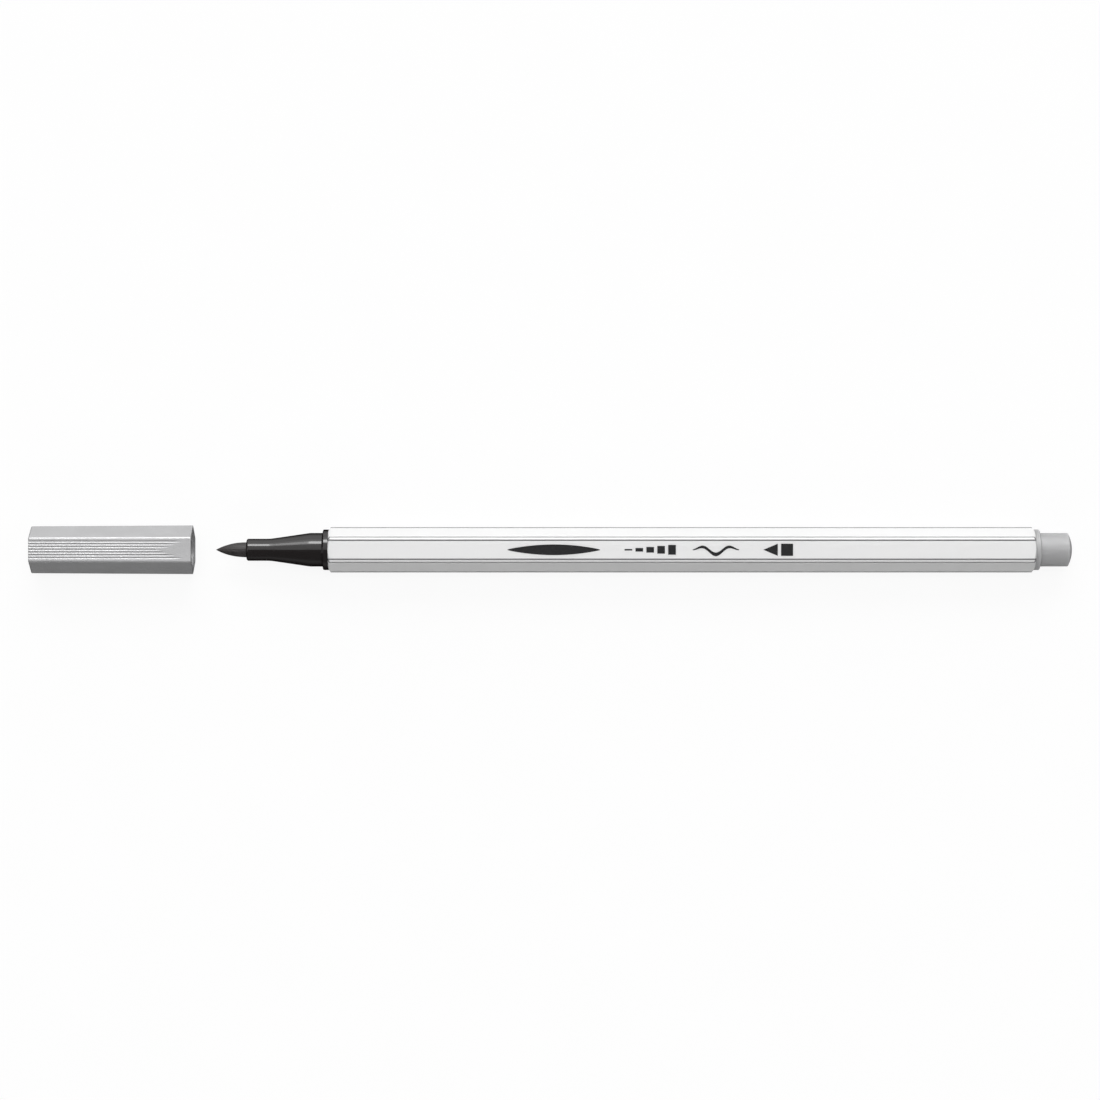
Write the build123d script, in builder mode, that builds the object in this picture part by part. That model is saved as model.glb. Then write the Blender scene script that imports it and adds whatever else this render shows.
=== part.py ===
from build123d import *
import math
import os

# A hexagonal calligraphy marker lying on one flat, cap off and in line with the nib. Sizes in mm.
# X runs along the pen (nib end at -X), Z is up, and the axis of every piece is Y = 0, Z = axis_height.

# ---- lengths along the pen, in order from the cap's closed end to the rear dome ----
cap_length = 29.9
cap_to_tip_gap = 4.2
nib_exposed = 5.7
holder_front_length = 4.35
holder_cone_length = 7.3
seat_length = 2.45
front_flange_length = 1.03
barrel_length = 130.08
rear_flange_length = 0.94
spigot_length = 5.25
dome_rise = 0.8

# ---- cap shell ----
cap_closed_apothem = 3.80
cap_open_apothem = 3.95
cap_corner_radius = 0.45
cap_end_round = 0.25
cap_rim_round = 0.12
cap_end_wall = 1.0
bore_lead_in = 0.25
vent_radius = 0.55
vent_circle_radius = 1.6
vent_count = 3
ribbed_faces = (0, 120, 240)
groove_steps = 3
groove_pitch = 0.504
groove_radius = 0.28
groove_depth = 0.11
groove_centre_reach = 24.6
groove_reach_step = 1.25
groove_fade_length = 1.8
groove_overrun = 1.0

# ---- inner cap, placed from the cap's closed end ----
inner_cap_start = 7.5
inner_cap_length = 12.3
inner_cap_wall = 0.6
inner_cap_radius = 2.70
inner_cap_chamfer = 0.5
inner_cavity_radius = 2.25
seal_land_length = 2.4
seal_lead_in = 0.35
inner_bore_radius = 2.95
fin_width = 0.7
fin_length = 9.5
fin_pad_length = 1.0

# ---- clearances ----
seat_clearance = 0.04
seal_clearance = 0.04
nib_clearance = 0.04

# ---- brush nib ----
nib_radius = 1.40
nib_point_length = 6.0
nib_point_power = 2.4
nib_point_stations = 12
nib_shank_behind_mouth = 29.2
nib_tail_length = 2.0
nib_tail_radius = 0.45

# ---- nib holder ----
holder_front_radius = 2.03
seat_radius = 3.10
front_flange_radius = 3.74
front_flange_round = 0.22
front_flange_rear_round = 0.08
front_root_round = 0.18
mouth_round = 0.35
mouth_lead_in = 0.12
cone_front_blend = 8.0
cone_rear_blend = 5.0
nib_grip_length = 10.2
air_channel_count = 4
air_channel_radius = 0.25
holder_socket_radius = 2.20
holder_tail_length = 8.2
tail_lead_in = 0.25

# ---- barrel ----
barrel_apothem = 3.72
barrel_corner_radius = 0.70
barrel_groove_width = 0.26
barrel_groove_depth = 0.12
barrel_end_radius = 3.66
barrel_chamfer_rise = 0.59
barrel_front_chamfer = 0.46
barrel_rear_chamfer = 0.51
barrel_bore_radius = 2.90
inner_rib_width = 0.6
inner_rib_bite = 0.1
inner_rib_end_gap = 2.0

# ---- reservoir, its film and its breather tube ----
reservoir_radius = 2.60
film_thickness = 0.12
tube_radius = 0.44
tube_bore_radius = 0.30
tube_offset = 2.12
tube_slot_radius = 0.45
tube_end_gap = 0.5

# ---- rear plug ----
rear_flange_radius = 3.74
rear_flange_round = 0.20
rear_root_round = 0.15
spigot_radius = 3.08
spigot_rim_round = 0.25
plug_tail_length = 12.35
plug_wall = 0.75
plug_end_wall = 1.2
plug_notch_width = 1.2
plug_notch_depth = 2.0

# ---- stations along X, all derived ----
overall_length = sum(
    [
        cap_length,
        cap_to_tip_gap,
        nib_exposed,
        holder_front_length,
        holder_cone_length,
        seat_length,
        front_flange_length,
        barrel_length,
        rear_flange_length,
        spigot_length,
        dome_rise,
    ]
)
axis_height = cap_open_apothem
x_cap_closed = -overall_length / 2
x_cap_open = x_cap_closed + cap_length
x_tip = x_cap_open + cap_to_tip_gap
x_mouth = x_tip + nib_exposed
x_cone = x_mouth + holder_front_length
x_seat = x_cone + holder_cone_length
x_flange = x_seat + seat_length
x_barrel = x_flange + front_flange_length
x_barrel_end = x_barrel + barrel_length
x_spigot = x_barrel_end + rear_flange_length
x_rim = x_spigot + spigot_length
x_dome = x_rim + dome_rise
x_reservoir = x_barrel + holder_tail_length
x_reservoir_end = x_barrel_end - plug_tail_length
x_inner_closed = x_cap_closed + inner_cap_start
x_inner_open = x_inner_closed + inner_cap_length
x_bore_step = x_inner_open - fin_pad_length

# ---- radii that follow from the ones above ----
seat_bore_radius = seat_radius + seat_clearance
seal_radius = holder_front_radius + seal_clearance
nib_bore_radius = nib_radius + nib_clearance
film_radius = reservoir_radius + film_thickness
groove_lift = groove_radius - groove_depth

pen_axis = Axis((0, 0, axis_height), (1, 0, 0))
lengthwise = Plane(origin=(0, 0, axis_height), x_dir=(1, 0, 0), z_dir=(0, -1, 0))


def across(x):
    """Plane square to the axis at x, with local X along Y and local Y along Z."""
    return Plane(origin=(x, 0, axis_height), x_dir=(0, 1, 0), z_dir=(1, 0, 0))


def cap_face(turn):
    """Plane on one drafted face of the cap: origin at the closed end, local X toward the open end."""
    out = Vector(0, math.sin(math.radians(turn)), math.cos(math.radians(turn)))
    side = out.cross(Vector(1, 0, 0))
    run = Vector(cap_length, 0, 0) + out * (cap_open_apothem - cap_closed_apothem)
    start = Vector(x_cap_closed, 0, axis_height) + out * cap_closed_apothem
    return Plane(origin=start, x_dir=run, z_dir=run.cross(side))


def nib_outline():
    """Points of the brush point, from just behind the tip to its full radius."""
    points = []
    for step in range(1, nib_point_stations + 1):
        share = (step / nib_point_stations) ** 1.5
        radius = nib_radius * (1 - (1 - share) ** nib_point_power)
        points.append((x_tip + share * nib_point_length, radius))
    return points


# ---- cap shell: drafted hexagon, round bore, end vents, seven fading grooves on alternate faces ----
with BuildPart() as cap_shell:
    with BuildSketch(across(x_cap_closed)) as closed_hexagon:
        RegularPolygon(cap_closed_apothem, 6, major_radius=False)
        fillet(closed_hexagon.vertices(), cap_corner_radius)
    with BuildSketch(across(x_cap_open)) as open_hexagon:
        RegularPolygon(cap_open_apothem, 6, major_radius=False)
        fillet(open_hexagon.vertices(), cap_corner_radius)
    loft(ruled=True)
    fillet(cap_shell.faces().sort_by(Axis.X)[0].edges(), cap_end_round)
    fillet(cap_shell.faces().sort_by(Axis.X)[-1].edges(), cap_rim_round)
    with BuildSketch(lengthwise):
        with BuildLine():
            Polyline(
                (x_cap_closed + cap_end_wall, 0),
                (x_cap_closed + cap_end_wall, inner_bore_radius),
                (x_bore_step, inner_bore_radius),
                (x_bore_step, seat_bore_radius),
                (x_cap_open - bore_lead_in, seat_bore_radius),
                (x_cap_open, seat_bore_radius + bore_lead_in),
                (x_cap_open, 0),
                close=True,
            )
        make_face()
    revolve(axis=pen_axis, mode=Mode.SUBTRACT)
    with BuildSketch(across(x_cap_closed)):
        with PolarLocations(vent_circle_radius, vent_count, start_angle=90):
            Circle(vent_radius)
    extrude(amount=cap_end_wall, mode=Mode.SUBTRACT)
    for turn in ribbed_faces:
        for step in range(-groove_steps, groove_steps + 1):
            reach = groove_centre_reach + groove_reach_step * abs(step)
            straight = reach - groove_fade_length
            with Locations(cap_face(turn)):
                with Locations((-groove_overrun, step * groove_pitch, groove_lift)):
                    Cylinder(
                        groove_radius,
                        straight + groove_overrun,
                        rotation=(0, 90, 0),
                        align=(Align.CENTER, Align.CENTER, Align.MIN),
                        mode=Mode.SUBTRACT,
                    )
                with Locations((straight, step * groove_pitch, groove_lift)):
                    Cone(
                        groove_radius,
                        groove_lift,
                        groove_fade_length,
                        rotation=(0, 90, 0),
                        align=(Align.CENTER, Align.CENTER, Align.MIN),
                        mode=Mode.SUBTRACT,
                    )
cap_shell.part.label = "cap_shell"

# ---- inner cap: a cup that seals on the holder's front, with fins that leave air channels ----
with BuildPart() as inner_cap:
    with BuildSketch(lengthwise):
        with BuildLine():
            Polyline(
                (x_inner_closed, 0),
                (x_inner_closed, inner_cap_radius - inner_cap_chamfer),
                (x_inner_closed + inner_cap_chamfer, inner_cap_radius),
                (x_inner_open, inner_cap_radius),
                (x_inner_open, seal_radius + seal_lead_in),
                (x_inner_open - seal_lead_in, seal_radius),
                (x_inner_open - seal_lead_in - seal_land_length, seal_radius),
                (x_inner_open - 2 * seal_lead_in - seal_land_length, inner_cavity_radius),
                (x_inner_closed + inner_cap_wall, inner_cavity_radius),
                (x_inner_closed + inner_cap_wall, 0),
                close=True,
            )
        make_face()
    revolve(axis=pen_axis)
    with BuildSketch(across(x_bore_step - fin_length)):
        for turn in (45, 135):
            Rectangle(4 * inner_bore_radius, fin_width, rotation=turn)
        Circle(inner_bore_radius, mode=Mode.INTERSECT)
        Circle(inner_cavity_radius + inner_cap_wall / 2, mode=Mode.SUBTRACT)
    extrude(amount=fin_length)
    with BuildSketch(across(x_bore_step)):
        for turn in (45, 135):
            Rectangle(4 * seat_bore_radius, fin_width, rotation=turn)
        Circle(seat_bore_radius, mode=Mode.INTERSECT)
        Circle(inner_cavity_radius + inner_cap_wall / 2, mode=Mode.SUBTRACT)
    extrude(amount=fin_pad_length)
inner_cap.part.label = "inner_cap"

# ---- brush nib: fibre rod with an ogive brush point and a tapered tail that feeds from the reservoir ----
x_nib_tail = x_mouth + nib_shank_behind_mouth
with BuildPart() as brush_nib:
    with BuildSketch(lengthwise):
        with BuildLine():
            point = Spline((x_tip, 0), *nib_outline())
            Polyline(
                point @ 1,
                (x_nib_tail - nib_tail_length, nib_radius),
                (x_nib_tail, nib_tail_radius),
                (x_nib_tail, 0),
                point @ 0,
            )
        make_face()
    revolve(axis=pen_axis)
brush_nib.part.label = "brush_nib"

# ---- nib holder: round front, long cone, cap seat, flange, and a tail pressed into the barrel ----
x_holder_tail = x_barrel + holder_tail_length
with BuildPart() as nib_holder:
    with BuildSketch(lengthwise):
        with BuildLine():
            Polyline(
                (x_mouth, 0),
                (x_mouth, holder_front_radius),
                (x_cone, holder_front_radius),
                (x_seat, seat_radius),
                (x_flange, seat_radius),
                (x_flange, front_flange_radius),
                (x_barrel, front_flange_radius),
                (x_barrel, barrel_bore_radius),
                (x_holder_tail - tail_lead_in, barrel_bore_radius),
                (x_holder_tail, barrel_bore_radius - tail_lead_in),
                (x_holder_tail, 0),
                close=True,
            )
        make_face()
    revolve(axis=pen_axis)
    rings = nib_holder.edges().filter_by(GeomType.CIRCLE).sort_by(Axis.X)
    fillet(rings[0], mouth_round)
    cone_start = nib_holder.edges().filter_by(GeomType.CIRCLE).sort_by(lambda e: abs(e.center().X - x_cone))
    fillet(cone_start[0], cone_front_blend)
    cone_end = nib_holder.edges().filter_by(GeomType.CIRCLE).sort_by(lambda e: abs(e.center().X - x_seat))
    fillet(cone_end[0], cone_rear_blend)
    flange_front = nib_holder.edges().filter_by(GeomType.CIRCLE).filter_by_position(Axis.X, x_flange, x_flange)
    fillet(flange_front.sort_by(SortBy.RADIUS)[-1], front_flange_round)
    flange_root = nib_holder.edges().filter_by(GeomType.CIRCLE).filter_by_position(Axis.X, x_flange, x_flange)
    fillet(flange_root.sort_by(SortBy.RADIUS)[0], front_root_round)
    flange_back = nib_holder.edges().filter_by(GeomType.CIRCLE).filter_by_position(Axis.X, x_barrel, x_barrel)
    fillet(flange_back.sort_by(SortBy.RADIUS)[-1], front_flange_rear_round)
    with BuildSketch(lengthwise):
        with BuildLine():
            Polyline(
                (x_mouth, 0),
                (x_mouth, nib_bore_radius + mouth_lead_in),
                (x_mouth + mouth_lead_in, nib_bore_radius),
                (x_mouth + nib_grip_length, nib_bore_radius),
                (x_mouth + nib_grip_length, holder_socket_radius),
                (x_holder_tail, holder_socket_radius),
                (x_holder_tail, 0),
                close=True,
            )
        make_face()
    revolve(axis=pen_axis, mode=Mode.SUBTRACT)
    with BuildSketch(across(x_mouth)):
        with PolarLocations(nib_bore_radius, air_channel_count, start_angle=45):
            Circle(air_channel_radius)
    extrude(amount=nib_grip_length, mode=Mode.SUBTRACT)
nib_holder.part.label = "nib_holder"

# ---- barrel: hexagon with rounded corner ribs between fine grooves, round bore with centring ribs ----
barrel_corner_distance = barrel_apothem / math.cos(math.radians(30))
corner_to_groove = barrel_corner_radius * math.tan(math.radians(30))
groove_along_face = barrel_corner_distance / 2 - corner_to_groove
with BuildPart() as barrel:
    with BuildSketch(across(x_barrel)) as barrel_section:
        RegularPolygon(barrel_apothem, 6, major_radius=False)
        fillet(barrel_section.vertices(), barrel_corner_radius)
        with PolarLocations(barrel_apothem, 6, start_angle=30):
            with Locations((0, groove_along_face), (0, -groove_along_face)):
                Rectangle(2 * barrel_groove_depth, barrel_groove_width, mode=Mode.SUBTRACT)
    extrude(amount=barrel_length)
    with BuildSketch(lengthwise):
        with BuildLine():
            Polyline(
                (x_barrel, 0),
                (x_barrel, barrel_end_radius),
                (x_barrel + barrel_front_chamfer, barrel_end_radius + barrel_chamfer_rise),
                (x_barrel_end - barrel_rear_chamfer, barrel_end_radius + barrel_chamfer_rise),
                (x_barrel_end, barrel_end_radius),
                (x_barrel_end, 0),
                close=True,
            )
        make_face()
    revolve(axis=pen_axis, mode=Mode.INTERSECT)
    with BuildSketch(across(x_barrel)):
        Circle(barrel_bore_radius)
    extrude(amount=barrel_length, mode=Mode.SUBTRACT)
    with BuildSketch(across(x_reservoir + inner_rib_end_gap)):
        for turn in (0, 60, 120):
            Rectangle(4 * barrel_bore_radius, inner_rib_width, rotation=turn)
        Circle(barrel_bore_radius + inner_rib_bite, mode=Mode.INTERSECT)
        Circle(film_radius, mode=Mode.SUBTRACT)
    extrude(amount=x_reservoir_end - x_reservoir - 2 * inner_rib_end_gap)
barrel.part.label = "barrel"

# ---- ink reservoir: fibre rod with a socket for the nib's tail and a slot for the breather tube ----
with BuildPart() as ink_reservoir:
    with BuildSketch(across(x_reservoir)):
        Circle(reservoir_radius)
        with Locations((0, tube_offset)):
            Circle(tube_slot_radius, mode=Mode.SUBTRACT)
            Rectangle(
                2 * tube_slot_radius,
                reservoir_radius,
                align=(Align.CENTER, Align.MIN),
                mode=Mode.SUBTRACT,
            )
    extrude(amount=x_reservoir_end - x_reservoir)
    with BuildSketch(lengthwise):
        with BuildLine():
            Polyline(
                (x_reservoir, 0),
                (x_reservoir, nib_bore_radius),
                (x_nib_tail - nib_tail_length, nib_bore_radius),
                (x_nib_tail + nib_clearance, nib_tail_radius + nib_clearance),
                (x_nib_tail + nib_clearance, 0),
                close=True,
            )
        make_face()
    revolve(axis=pen_axis, mode=Mode.SUBTRACT)
ink_reservoir.part.label = "ink_reservoir"

# ---- reservoir film: the thin sleeve wrapped round the fibre rod ----
with BuildPart() as reservoir_film:
    with BuildSketch(across(x_reservoir)):
        Circle(film_radius)
        Circle(reservoir_radius, mode=Mode.SUBTRACT)
    extrude(amount=x_reservoir_end - x_reservoir)
reservoir_film.part.label = "reservoir_film"

# ---- breather tube: the straw that lets air past the ink ----
with BuildPart() as breather_tube:
    with BuildSketch(across(x_reservoir + tube_end_gap)):
        with Locations((0, tube_offset)):
            Circle(tube_radius)
            Circle(tube_bore_radius, mode=Mode.SUBTRACT)
    extrude(amount=x_reservoir_end - x_reservoir - 2 * tube_end_gap)
breather_tube.part.label = "breather_tube"

# ---- rear plug: hollow tail pressed into the barrel, flange, round spigot and shallow dome ----
with BuildPart() as rear_plug:
    with BuildSketch(lengthwise):
        with BuildLine():
            dome = TangentArc((x_dome, 0), (x_rim, spigot_radius), tangent=(0, 1))
            Polyline(
                dome @ 1,
                (x_spigot, spigot_radius),
                (x_spigot, rear_flange_radius),
                (x_barrel_end, rear_flange_radius),
                (x_barrel_end, barrel_bore_radius),
                (x_reservoir_end + tail_lead_in, barrel_bore_radius),
                (x_reservoir_end, barrel_bore_radius - tail_lead_in),
                (x_reservoir_end, 0),
                dome @ 0,
            )
        make_face()
    revolve(axis=pen_axis)
    rings = rear_plug.edges().filter_by(GeomType.CIRCLE)
    fillet(rings.sort_by(lambda e: abs(e.center().X - x_rim))[0], spigot_rim_round)
    flange_back = rear_plug.edges().filter_by(GeomType.CIRCLE).filter_by_position(Axis.X, x_spigot, x_spigot)
    fillet(flange_back.sort_by(SortBy.RADIUS)[-1], rear_flange_round)
    spigot_root = rear_plug.edges().filter_by(GeomType.CIRCLE).filter_by_position(Axis.X, x_spigot, x_spigot)
    fillet(spigot_root.sort_by(SortBy.RADIUS)[0], rear_root_round)
    with BuildSketch(across(x_reservoir_end)):
        Circle(barrel_bore_radius - plug_wall)
    extrude(amount=x_dome - plug_end_wall - x_reservoir_end, mode=Mode.SUBTRACT)
    with BuildSketch(across(x_reservoir_end)):
        for turn in (0, 90):
            Rectangle(4 * barrel_bore_radius, plug_notch_width, rotation=turn)
    extrude(amount=plug_notch_depth, mode=Mode.SUBTRACT)
rear_plug.part.label = "rear_plug"

pieces = [
    cap_shell.part,
    inner_cap.part,
    brush_nib.part,
    nib_holder.part,
    barrel.part,
    ink_reservoir.part,
    reservoir_film.part,
    breather_tube.part,
    rear_plug.part,
]
os.makedirs("parts", exist_ok=True)
for piece in pieces:
    export_step(piece, f"parts/{piece.label}.step")
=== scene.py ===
import math

import bmesh
import bpy
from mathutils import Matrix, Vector, noise


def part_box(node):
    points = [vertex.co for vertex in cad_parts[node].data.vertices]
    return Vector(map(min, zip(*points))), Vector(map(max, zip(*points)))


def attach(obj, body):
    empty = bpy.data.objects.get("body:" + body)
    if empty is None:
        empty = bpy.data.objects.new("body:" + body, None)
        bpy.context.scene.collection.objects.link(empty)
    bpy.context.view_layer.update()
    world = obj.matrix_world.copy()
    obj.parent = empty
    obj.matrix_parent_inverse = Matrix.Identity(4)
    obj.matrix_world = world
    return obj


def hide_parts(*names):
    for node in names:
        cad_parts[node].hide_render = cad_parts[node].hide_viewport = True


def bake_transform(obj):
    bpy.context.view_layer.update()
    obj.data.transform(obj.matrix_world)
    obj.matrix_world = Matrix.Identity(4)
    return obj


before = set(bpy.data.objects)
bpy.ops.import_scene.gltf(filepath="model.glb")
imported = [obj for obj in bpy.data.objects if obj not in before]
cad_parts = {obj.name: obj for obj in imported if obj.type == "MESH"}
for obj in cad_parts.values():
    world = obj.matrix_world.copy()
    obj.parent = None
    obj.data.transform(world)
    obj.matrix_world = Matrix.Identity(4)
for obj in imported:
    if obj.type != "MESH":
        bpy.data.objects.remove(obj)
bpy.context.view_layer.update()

# ---- measures read from the frame, in metres ----
MM = 0.001
barrel_lo, barrel_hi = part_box("barrel")
nib_lo, nib_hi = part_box("brush_nib")
axis_z = (barrel_lo.z + barrel_hi.z) / 2
flat_top = barrel_hi.z
nib_radius = (nib_hi.z - nib_lo.z) / 2

scene = bpy.context.scene
scene.view_settings.view_transform = "Standard"
scene.view_settings.look = "None"


# ---- node helpers ----
def new_material(name):
    """An empty node material with its Principled shader."""
    material = bpy.data.materials.new(name)
    material.use_nodes = True
    tree = material.node_tree
    tree.nodes.clear()
    out = tree.nodes.new("ShaderNodeOutputMaterial")
    shader = tree.nodes.new("ShaderNodeBsdfPrincipled")
    tree.links.new(shader.outputs["BSDF"], out.inputs["Surface"])
    return material, tree, shader


def stretched_noise(tree, scale, stretch, detail=3.0, rough=0.5):
    """Noise on the object's own coordinates, longer along X by the stretch. Scale is per metre."""
    coords = tree.nodes.new("ShaderNodeTexCoord")
    mapping = tree.nodes.new("ShaderNodeMapping")
    mapping.inputs["Scale"].default_value = (scale / stretch, scale, scale)
    texture = tree.nodes.new("ShaderNodeTexNoise")
    texture.inputs["Scale"].default_value = 1.0
    texture.inputs["Detail"].default_value = detail
    texture.inputs["Roughness"].default_value = rough
    tree.links.new(coords.outputs["Object"], mapping.inputs["Vector"])
    tree.links.new(mapping.outputs["Vector"], texture.inputs["Vector"])
    return texture.outputs["Fac"]


def ramp(tree, value, stops):
    """A colour ramp with (place, rgb) stops."""
    node = tree.nodes.new("ShaderNodeValToRGB")
    elements = node.color_ramp.elements
    elements[0].position = stops[0][0]
    elements[0].color = (*stops[0][1], 1)
    elements[1].position = stops[-1][0]
    elements[1].color = (*stops[-1][1], 1)
    for place, colour in stops[1:-1]:
        elements.new(place).color = (*colour, 1)
    tree.links.new(value, node.inputs["Fac"])
    return node.outputs["Color"]


def grey_ramp(tree, value, dark, light):
    """A ramp between two greys over the middle of a noise texture's range."""
    return ramp(tree, value, [(0.3, (dark,) * 3), (0.7, (light,) * 3)])


def spread(tree, value, low, high, start=0.3, end=0.7):
    """Maps a value from start..end onto low..high, held at both ends."""
    node = tree.nodes.new("ShaderNodeMapRange")
    node.inputs["From Min"].default_value = start
    node.inputs["From Max"].default_value = end
    node.inputs["To Min"].default_value = low
    node.inputs["To Max"].default_value = high
    tree.links.new(value, node.inputs["Value"])
    return node.outputs["Result"]


def math_node(tree, operation, *values):
    """A Math node fed by numbers or by other nodes' outputs."""
    node = tree.nodes.new("ShaderNodeMath")
    node.operation = operation
    for socket, value in zip(node.inputs, values):
        if isinstance(value, (int, float)):
            socket.default_value = value
        else:
            tree.links.new(value, socket)
    return node.outputs["Value"]


def bump(tree, shader, layers):
    """Stacks bump layers of (value, strength, distance) on the shader's normal."""
    normal = None
    for value, strength, distance in layers:
        node = tree.nodes.new("ShaderNodeBump")
        node.inputs["Strength"].default_value = strength
        node.inputs["Distance"].default_value = distance
        tree.links.new(value, node.inputs["Height"])
        if normal is not None:
            tree.links.new(normal, node.inputs["Normal"])
        normal = node.outputs["Normal"]
    tree.links.new(normal, shader.inputs["Normal"])


def tint(colour, factor):
    """A colour made lighter or darker."""
    return tuple(min(1.0, c * factor) for c in colour)


# ---- materials ----
def moulded_plastic(name, colour, roughness, grain=0.12, drift=0.05, metallic=0.0, subsurface=0.0, depth=1.2):
    """Moulded plastic: faint colour drift, flow lines along X, fine grain, scuffs. Depth is in mm."""
    material, tree, shader = new_material(name)
    clouds = stretched_noise(tree, 130, 4, detail=2)
    flow = stretched_noise(tree, 2600, 40, detail=3)
    grit = stretched_noise(tree, 9000, 1, detail=2)
    smudge = stretched_noise(tree, 420, 1.5, detail=4, rough=0.6)
    stops = [(0.3, tint(colour, 1 - drift)), (0.55, colour), (0.75, tint(colour, 1 + drift / 2))]
    tree.links.new(ramp(tree, clouds, stops), shader.inputs["Base Color"])
    tree.links.new(spread(tree, smudge, roughness * 0.85, roughness * 1.25), shader.inputs["Roughness"])
    bump(tree, shader, [(flow, grain, 0.010 * MM), (grit, grain, 0.006 * MM)])
    shader.inputs["IOR"].default_value = 1.49
    shader.inputs["Subsurface Weight"].default_value = subsurface
    shader.inputs["Subsurface Radius"].default_value = (depth * MM, depth * MM, depth * MM)
    shader.inputs["Subsurface Scale"].default_value = 1.0
    shader.inputs["Metallic"].default_value = metallic
    return material


def groove_shade_mask(tree):
    """1 in the floor of the fine lines cut beside each corner of the barrel, where grey is painted in as
    shade; 0 elsewhere.
    """
    coords = tree.nodes.new("ShaderNodeTexCoord")
    split = tree.nodes.new("ShaderNodeSeparateXYZ")
    tree.links.new(coords.outputs["Object"], split.inputs["Vector"])
    across = split.outputs["Y"]
    up = math_node(tree, "SUBTRACT", split.outputs["Z"], axis_z)
    across_squared = math_node(tree, "MULTIPLY", across, across)
    up_squared = math_node(tree, "MULTIPLY", up, up)
    radius = math_node(tree, "SQRT", math_node(tree, "ADD", across_squared, up_squared))
    # the angle from the middle of the nearest flat, so that one rule serves all six
    half_flat = math.pi / 6
    folded = math_node(tree, "WRAP", math_node(tree, "ARCTAN2", across, up), half_flat, -half_flat)
    out_from_axis = math_node(tree, "MULTIPLY", radius, math_node(tree, "COSINE", folded))
    across_flat = math_node(tree, "MULTIPLY", radius, math_node(tree, "SINE", folded))
    from_middle = math_node(tree, "ABSOLUTE", across_flat)
    sunk = math_node(tree, "SUBTRACT", flat_top - axis_z, out_from_axis)
    past_inner_edge = spread(tree, from_middle, 0.0, 1.0, 1.58 * MM, 1.61 * MM)
    before_outer_edge = spread(tree, from_middle, 1.0, 0.0, 1.89 * MM, 1.92 * MM)
    below_flat = spread(tree, sunk, 0.0, 1.0, 0.03 * MM, 0.07 * MM)
    between_edges = math_node(tree, "MULTIPLY", past_inner_edge, before_outer_edge)
    return math_node(tree, "MULTIPLY", below_flat, between_edges)


def white_with_groove_shade(name, colour, roughness, groove_shade_colour):
    """The barrel's white plastic, with dull grey painted into the floor of the lines beside each corner rib
    as painted shade.
    """
    material = moulded_plastic(name, colour, roughness, grain=0.06, drift=0.015, subsurface=0.35, depth=2.0)
    tree = material.node_tree
    shader = tree.nodes["Principled BSDF"]
    plastic = shader.inputs["Base Color"].links[0].from_socket
    mixer = tree.nodes.new("ShaderNodeMix")
    mixer.data_type = "RGBA"
    # painted shade: the groove mask mixes dull grey into the barrel's colour, standing in for the shade in
    # the corner lines
    tree.links.new(groove_shade_mask(tree), mixer.inputs["Factor"])
    tree.links.new(plastic, mixer.inputs["A"])
    mixer.inputs["B"].default_value = (*groove_shade_colour, 1)
    tree.links.new(mixer.outputs["Result"], shader.inputs["Base Color"])
    return material


def fibre(name, light, dark, along=60):
    """Bonded fibres running along X, soaked with ink."""
    material, tree, shader = new_material(name)
    strands = stretched_noise(tree, 7000, along, detail=3, rough=0.6)
    patches = stretched_noise(tree, 500, 3, detail=3)
    strand_stops = [(0.3, dark), (0.5, light), (0.72, tint(light, 1.35))]
    mixer = tree.nodes.new("ShaderNodeMix")
    mixer.data_type = "RGBA"
    mixer.blend_type = "MULTIPLY"
    mixer.inputs["Factor"].default_value = 0.5
    tree.links.new(ramp(tree, strands, strand_stops), mixer.inputs["A"])
    tree.links.new(grey_ramp(tree, patches, 0.72, 1.0), mixer.inputs["B"])
    tree.links.new(mixer.outputs["Result"], shader.inputs["Base Color"])
    tree.links.new(spread(tree, strands, 0.45, 0.7), shader.inputs["Roughness"])
    bump(tree, shader, [(strands, 0.5, 0.03 * MM)])
    shader.inputs["Sheen Weight"].default_value = 0.06
    shader.inputs["Sheen Roughness"].default_value = 0.4
    return material


def clear_film(name):
    """Thin clear wrap with faint drawing lines."""
    material, tree, shader = new_material(name)
    lines = stretched_noise(tree, 3000, 80, detail=2)
    stops = [(0.3, (0.80, 0.82, 0.84)), (0.7, (0.92, 0.93, 0.94))]
    tree.links.new(ramp(tree, lines, stops), shader.inputs["Base Color"])
    tree.links.new(spread(tree, lines, 0.12, 0.25), shader.inputs["Roughness"])
    bump(tree, shader, [(lines, 0.15, 0.01 * MM)])
    shader.inputs["Alpha"].default_value = 0.45
    return material


def print_ink(name):
    """Pad-printed ink with slightly uneven cover."""
    material, tree, shader = new_material(name)
    cover = stretched_noise(tree, 2500, 1, detail=4, rough=0.6)
    stops = [(0.3, (0.008, 0.008, 0.009)), (0.7, (0.016, 0.016, 0.017))]
    tree.links.new(ramp(tree, cover, stops), shader.inputs["Base Color"])
    tree.links.new(spread(tree, cover, 0.4, 0.55), shader.inputs["Roughness"])
    shader.inputs["Specular IOR Level"].default_value = 0.25
    bump(tree, shader, [(cover, 0.2, 0.005 * MM)])
    return material


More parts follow.
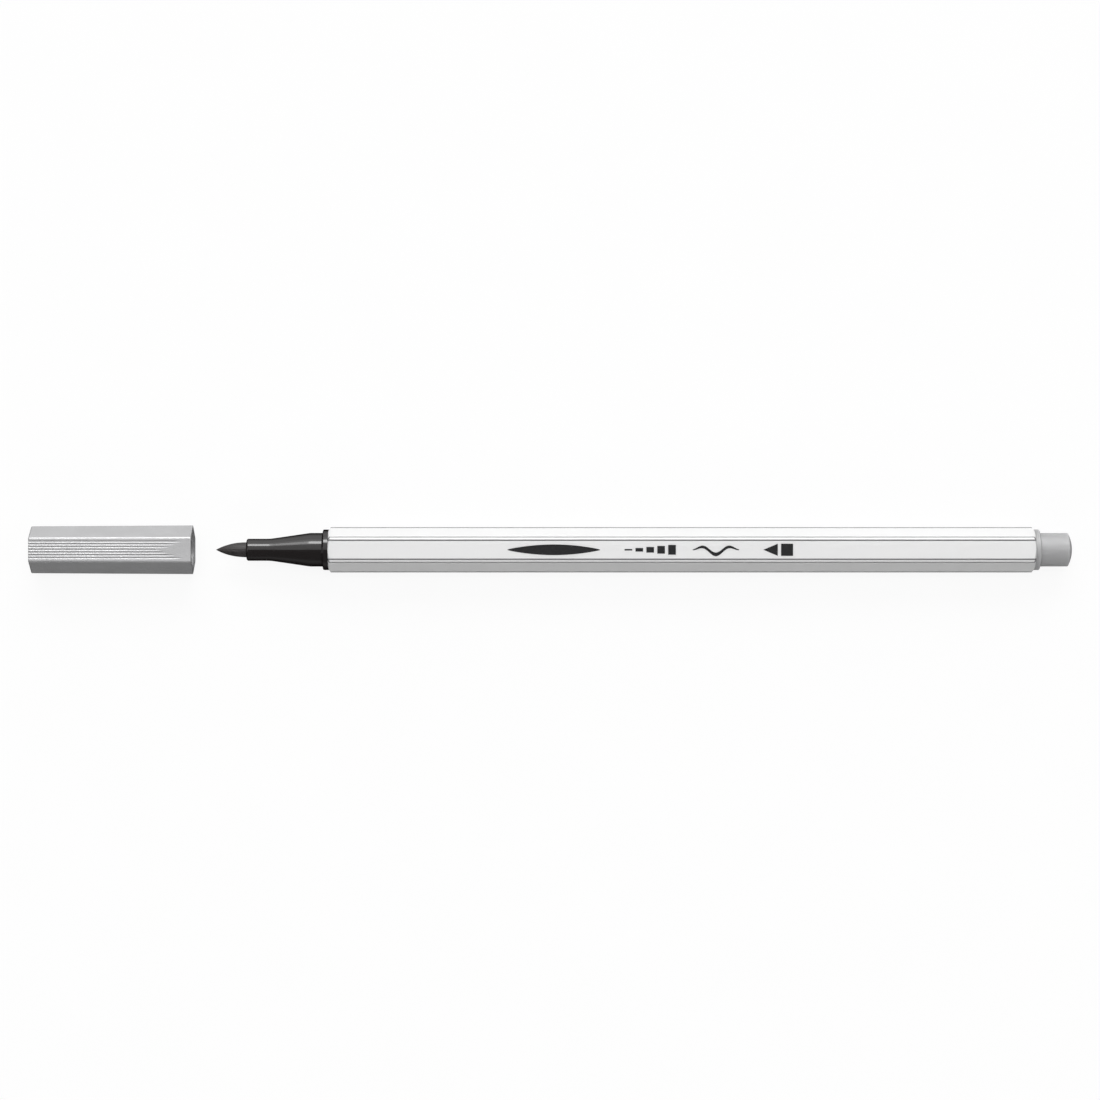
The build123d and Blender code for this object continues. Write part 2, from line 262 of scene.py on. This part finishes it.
def seamless_floor(name):
    """A white table: bright and nearly shadowless as a backdrop, a matt white to the light it bounces."""
    material, tree, shader = new_material(name)
    mottle = stretched_noise(tree, 60, 1, detail=2)
    out = tree.nodes["Material Output"]
    tree.links.new(grey_ramp(tree, mottle, 0.077, 0.081), shader.inputs["Base Color"])
    tree.links.new(spread(tree, mottle, 0.85, 0.95), shader.inputs["Roughness"])
    shader.inputs["Specular IOR Level"].default_value = 0.1
    shader.inputs["Emission Color"].default_value = (1, 1, 1, 1)
    shader.inputs["Emission Strength"].default_value = 0.899
    matt = tree.nodes.new("ShaderNodeBsdfPrincipled")
    matt.inputs["Specular IOR Level"].default_value = 0.1
    matt.inputs["Roughness"].default_value = 0.9
    matt.inputs["Emission Color"].default_value = (1, 1, 1, 1)
    matt.inputs["Emission Strength"].default_value = 0.2
    tree.links.new(grey_ramp(tree, mottle, 0.48, 0.52), matt.inputs["Base Color"])
    path = tree.nodes.new("ShaderNodeLightPath")
    mix = tree.nodes.new("ShaderNodeMixShader")
    tree.links.new(path.outputs["Is Camera Ray"], mix.inputs["Fac"])
    tree.links.new(matt.outputs["BSDF"], mix.inputs[1])
    tree.links.new(shader.outputs["BSDF"], mix.inputs[2])
    tree.links.new(mix.outputs["Shader"], out.inputs["Surface"])
    return material


shared_grey = (0.42, 0.42, 0.425)
cap_grey = tint(shared_grey, 1.15)
plug_grey = tint(shared_grey, 0.91)
seal_white = (0.72, 0.72, 0.70)
holder_black = (0.0125, 0.0105, 0.0105)
barrel_white = (0.735, 0.735, 0.735)
# painted shade: the grey painted into the floor of the barrel's corner lines
groove_shade_grey = (0.19, 0.19, 0.195)
tube_natural = (0.62, 0.62, 0.58)
looks = {
    "cap_shell": moulded_plastic("cap_grey", cap_grey, 0.46, grain=0.015, metallic=0.52),
    "inner_cap": moulded_plastic("seal_white", seal_white, 0.4, subsurface=0.15),
    "nib_holder": moulded_plastic("holder_black", holder_black, 0.10, grain=0.06, drift=0.2),
    "barrel": white_with_groove_shade("barrel_white", barrel_white, 0.18, groove_shade_grey),
    "ink_reservoir": fibre("reservoir_fibre", (0.03, 0.03, 0.033), (0.012, 0.012, 0.014)),
    "reservoir_film": clear_film("film_clear"),
    "breather_tube": moulded_plastic("tube_natural", tube_natural, 0.35, subsurface=0.1),
    "rear_plug": moulded_plastic("plug_grey", plug_grey, 0.42, subsurface=1.0, depth=2.5),
}
for node, material in looks.items():
    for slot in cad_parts[node].material_slots:
        slot.material = material


# ---- brush nib: fluted fibre point on its rod ----
NIB_POINT_LENGTH = 6.0 * MM
NIB_TAIL_LENGTH = 2.0 * MM
NIB_POINT_STEPS = 72
NIB_SHANK_STEPS = 40
NIB_AROUND = 160


def nib_profile():
    """(x, radius) rows from the tip to the tail."""
    rows = []
    for i in range(NIB_POINT_STEPS + 1):
        share = (i / NIB_POINT_STEPS) ** 1.6
        rows.append((nib_lo.x + share * NIB_POINT_LENGTH, nib_radius * (1 - (1 - share) ** 2.4)))
    shank_start = nib_lo.x + NIB_POINT_LENGTH
    shank_end = nib_hi.x - NIB_TAIL_LENGTH
    for i in range(1, NIB_SHANK_STEPS + 1):
        rows.append((shank_start + (shank_end - shank_start) * i / NIB_SHANK_STEPS, nib_radius))
    rows.append((nib_hi.x - NIB_TAIL_LENGTH / 2, nib_radius * 0.66))
    rows.append((nib_hi.x, nib_radius * 0.32))
    return rows


def fluted(x, radius, angle):
    """The nib's radius at an angle: broad uneven flutes with finer fibres on them."""
    lobe = noise.noise(Vector((math.cos(angle) * 9, math.sin(angle) * 9, x * 180)))
    fine = noise.noise(Vector((math.cos(angle) * 26, math.sin(angle) * 26, x * 420)))
    depth = 0.022 * (0.5 + lobe) + 0.018 * (0.5 + fine)
    return radius * (1 - max(0.0, depth))


def build_nib():
    """The nib's mesh, closed at the tip and at the tail."""
    mesh = bpy.data.meshes.new("brush_fibres")
    bm = bmesh.new()
    rings = []
    rows = nib_profile()
    for x, radius in rows[1:]:
        ring = []
        for k in range(NIB_AROUND):
            angle = 2 * math.pi * k / NIB_AROUND
            r = fluted(x, radius, angle)
            ring.append(bm.verts.new((x, r * math.cos(angle), axis_z + r * math.sin(angle))))
        rings.append(ring)
    tip = bm.verts.new((rows[0][0], 0, axis_z))
    tail = bm.verts.new((rows[-1][0], 0, axis_z))
    for k in range(NIB_AROUND):
        n = (k + 1) % NIB_AROUND
        bm.faces.new((tip, rings[0][n], rings[0][k]))
        for a, b in zip(rings, rings[1:]):
            bm.faces.new((a[k], a[n], b[n], b[k]))
        bm.faces.new((tail, rings[-1][k], rings[-1][n]))
    bmesh.ops.recalc_face_normals(bm, faces=bm.faces)
    bm.to_mesh(mesh)
    bm.free()
    for polygon in mesh.polygons:
        polygon.use_smooth = True
    nib = bpy.data.objects.new("brush_nib_fibres", mesh)
    scene.collection.objects.link(nib)
    mesh.materials.append(fibre("nib_fibre_inked", (0.034, 0.030, 0.030), (0.013, 0.011, 0.011), along=30))
    return nib


nib = build_nib()
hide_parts("brush_nib")
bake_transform(nib)


# ---- generic print on the barrel's upper flat ----
PRINT_HEIGHT = 0.012 * MM
ink = print_ink("print_black")


def ribbon(name, spine):
    """A flat printed shape from rows of (x, y, half width), raised a hair from the flat."""
    mesh = bpy.data.meshes.new(name)
    bm = bmesh.new()
    levels = []
    for z in (flat_top, flat_top + PRINT_HEIGHT):
        upper = [bm.verts.new((x, y + w, z)) for x, y, w in spine]
        lower = [bm.verts.new((x, y - w, z)) for x, y, w in spine]
        levels.append((upper, lower))
    (up0, lo0), (up1, lo1) = levels
    for i in range(len(spine) - 1):
        bm.faces.new((up1[i], lo1[i], lo1[i + 1], up1[i + 1]))
        bm.faces.new((up0[i], up0[i + 1], lo0[i + 1], lo0[i]))
        bm.faces.new((up0[i], up1[i], up1[i + 1], up0[i + 1]))
        bm.faces.new((lo0[i], lo0[i + 1], lo1[i + 1], lo1[i]))
    bm.faces.new((up0[0], lo0[0], lo1[0], up1[0]))
    bm.faces.new((up0[-1], up1[-1], lo1[-1], lo0[-1]))
    bmesh.ops.recalc_face_normals(bm, faces=bm.faces)
    bm.to_mesh(mesh)
    bm.free()
    mesh.materials.append(ink)
    piece = bpy.data.objects.new(name, mesh)
    scene.collection.objects.link(piece)
    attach(piece, "pen")
    return piece


def swelling_stroke(x0, length, thin, thick, wave, count):
    """Rows for a pen stroke that swells and thins as it waves."""
    rows = []
    for i in range(count + 1):
        t = i / count
        swell = math.sin(math.pi * t) ** 0.8
        y = wave * math.sin(3 * math.pi * t) * swell
        rows.append((x0 + length * t, y, thin + (thick - thin) * swell))
    return rows


stroke_start = barrel_lo.x + 33 * MM
ribbon("print_stroke", swelling_stroke(stroke_start, 17 * MM, 0.04 * MM, 0.98 * MM, 0.0, 48))

bar_start = stroke_start + 21.5 * MM
bar_pitch = 2.0 * MM
bar_length = 1.4 * MM
for index in range(5):
    half = (0.14 + 0.19 * index) * MM
    left = bar_start + index * bar_pitch
    ribbon(f"print_bar_{index + 1}", [(left, 0, half), (left + bar_length, 0, half)])

wave_start = bar_start + 12.5 * MM
ribbon("print_wave", swelling_stroke(wave_start, 8.5 * MM, 0.07 * MM, 0.34 * MM, 0.85 * MM, 60))

arrow_start = wave_start + 13 * MM
arrow_end = arrow_start + 2.6 * MM
block_start = arrow_start + 3.2 * MM
block_end = arrow_start + 5.4 * MM
block_half = 1.12 * MM
ribbon("print_arrow", [(arrow_start, 0, 0.02 * MM), (arrow_end, 0, block_half)])
ribbon("print_block", [(block_start, 0, block_half), (block_end, 0, block_half)])


# ---- floor, lights and camera ----
def make_floor():
    """A wide plain floor just under the marker."""
    mesh = bpy.data.meshes.new("floor")
    half = 3.0
    level = -0.02 * MM
    corners = [(-half, -half, level), (half, -half, level), (half, half, level), (-half, half, level)]
    mesh.from_pydata(corners, [], [(0, 1, 2, 3)])
    floor = bpy.data.objects.new("floor", mesh)
    scene.collection.objects.link(floor)
    mesh.materials.append(seamless_floor("floor_white"))
    floor.visible_glossy = False


def area_light(name, place, size, power, gloss=True, diffuse=True):
    """A soft light aimed at the marker, which may be kept out of the reflections or out of the fill."""
    data = bpy.data.lights.new(name, "AREA")
    data.shape = "RECTANGLE"
    data.size, data.size_y = size
    data.energy = power
    lamp = bpy.data.objects.new(name, data)
    scene.collection.objects.link(lamp)
    lamp.location = place
    lamp.rotation_euler = (-Vector(place)).to_track_quat("-Z", "Y").to_euler()
    lamp.visible_glossy = gloss
    lamp.visible_diffuse = diffuse


def make_world(around, seen):
    """Soft studio walls round the marker's length: (angle from overhead towards +Y, radiance) stops."""
    world = bpy.data.worlds.new("studio")
    scene.world = world
    world.use_nodes = True
    tree = world.node_tree
    tree.nodes.clear()
    out = tree.nodes.new("ShaderNodeOutputWorld")
    soft = tree.nodes.new("ShaderNodeBackground")
    pale = tree.nodes.new("ShaderNodeBackground")
    mix = tree.nodes.new("ShaderNodeMixShader")
    path = tree.nodes.new("ShaderNodeLightPath")
    coords = tree.nodes.new("ShaderNodeTexCoord")
    split = tree.nodes.new("ShaderNodeSeparateXYZ")
    tree.links.new(coords.outputs["Generated"], split.inputs["Vector"])
    turn = math_node(tree, "ARCTAN2", split.outputs["Y"], split.outputs["Z"])
    place = spread(tree, turn, 0.0, 1.0, -math.pi, math.pi)
    top = max(radiance for angle, radiance in around)
    stops = [(0.5 + angle / 360, (radiance / top,) * 3) for angle, radiance in around]
    # the walls fade out beyond the marker's two ends
    to_an_end = math_node(tree, "ABSOLUTE", split.outputs["X"])
    fade = spread(tree, to_an_end, top, 0.0, 0.36, 0.52)
    tree.links.new(math_node(tree, "MULTIPLY", ramp(tree, place, stops), fade), soft.inputs["Strength"])
    pale.inputs["Strength"].default_value = seen
    tree.links.new(path.outputs["Is Camera Ray"], mix.inputs["Fac"])
    tree.links.new(soft.outputs["Background"], mix.inputs[1])
    tree.links.new(pale.outputs["Background"], mix.inputs[2])
    tree.links.new(mix.outputs["Shader"], out.inputs["Surface"])


make_floor()
studio_walls = [
    (-180, 0.0),
    (-138, 0.0),
    (-115, 0.05),
    (-98, 0.35),
    (-86, 0.4),
    (-72, 0.15),
    (-20, 0.12),
    (-6, 0.15),
    (4, 1.0),
    (12, 1.6),
    (30, 1.7),
    (40, 2.0),
    (60, 2.9),
    (68, 3.2),
    (76, 2.6),
    (86, 1.9),
    (96, 1.9),
    (112, 1.2),
    (126, 0.5),
    (142, 0.0),
    (180, 0.0),
]
make_world(studio_walls, 1.23)

KEY_ANGLE = math.radians(51)
KEY_DISTANCE = 1.4
key_place = (0, KEY_DISTANCE * math.sin(KEY_ANGLE), KEY_DISTANCE * math.cos(KEY_ANGLE))
core_place = tuple(0.98 * v for v in key_place)
area_light("key_softbox", key_place, (1.16, 0.50), 7.5)
area_light("key_core", core_place, (0.7, 0.38), 5.2, diffuse=False)
area_light("top_fill", (0, 0.25, 1.38), (0.8, 0.5), 4.6, gloss=False)
area_light("left_softbox", (-0.77, 0, 0.92), (0.6, 0.6), 1.5)
area_light("low_fill", (0, -1.236, 0.657), (1.2, 0.5), 4.7, gloss=False)
area_light("right_softbox", (0.77, 0, 0.92), (0.6, 0.6), 1.5)

CAMERA_HEIGHT = 609 * MM
camera_data = bpy.data.cameras.new("camera")
camera_data.sensor_width = 36
camera_data.lens = 108
camera_data.clip_start = 0.01
camera = bpy.data.objects.new("camera", camera_data)
scene.collection.objects.link(camera)
camera.location = (-0.25 * MM, -0.04 * MM, axis_z + CAMERA_HEIGHT)
scene.camera = camera
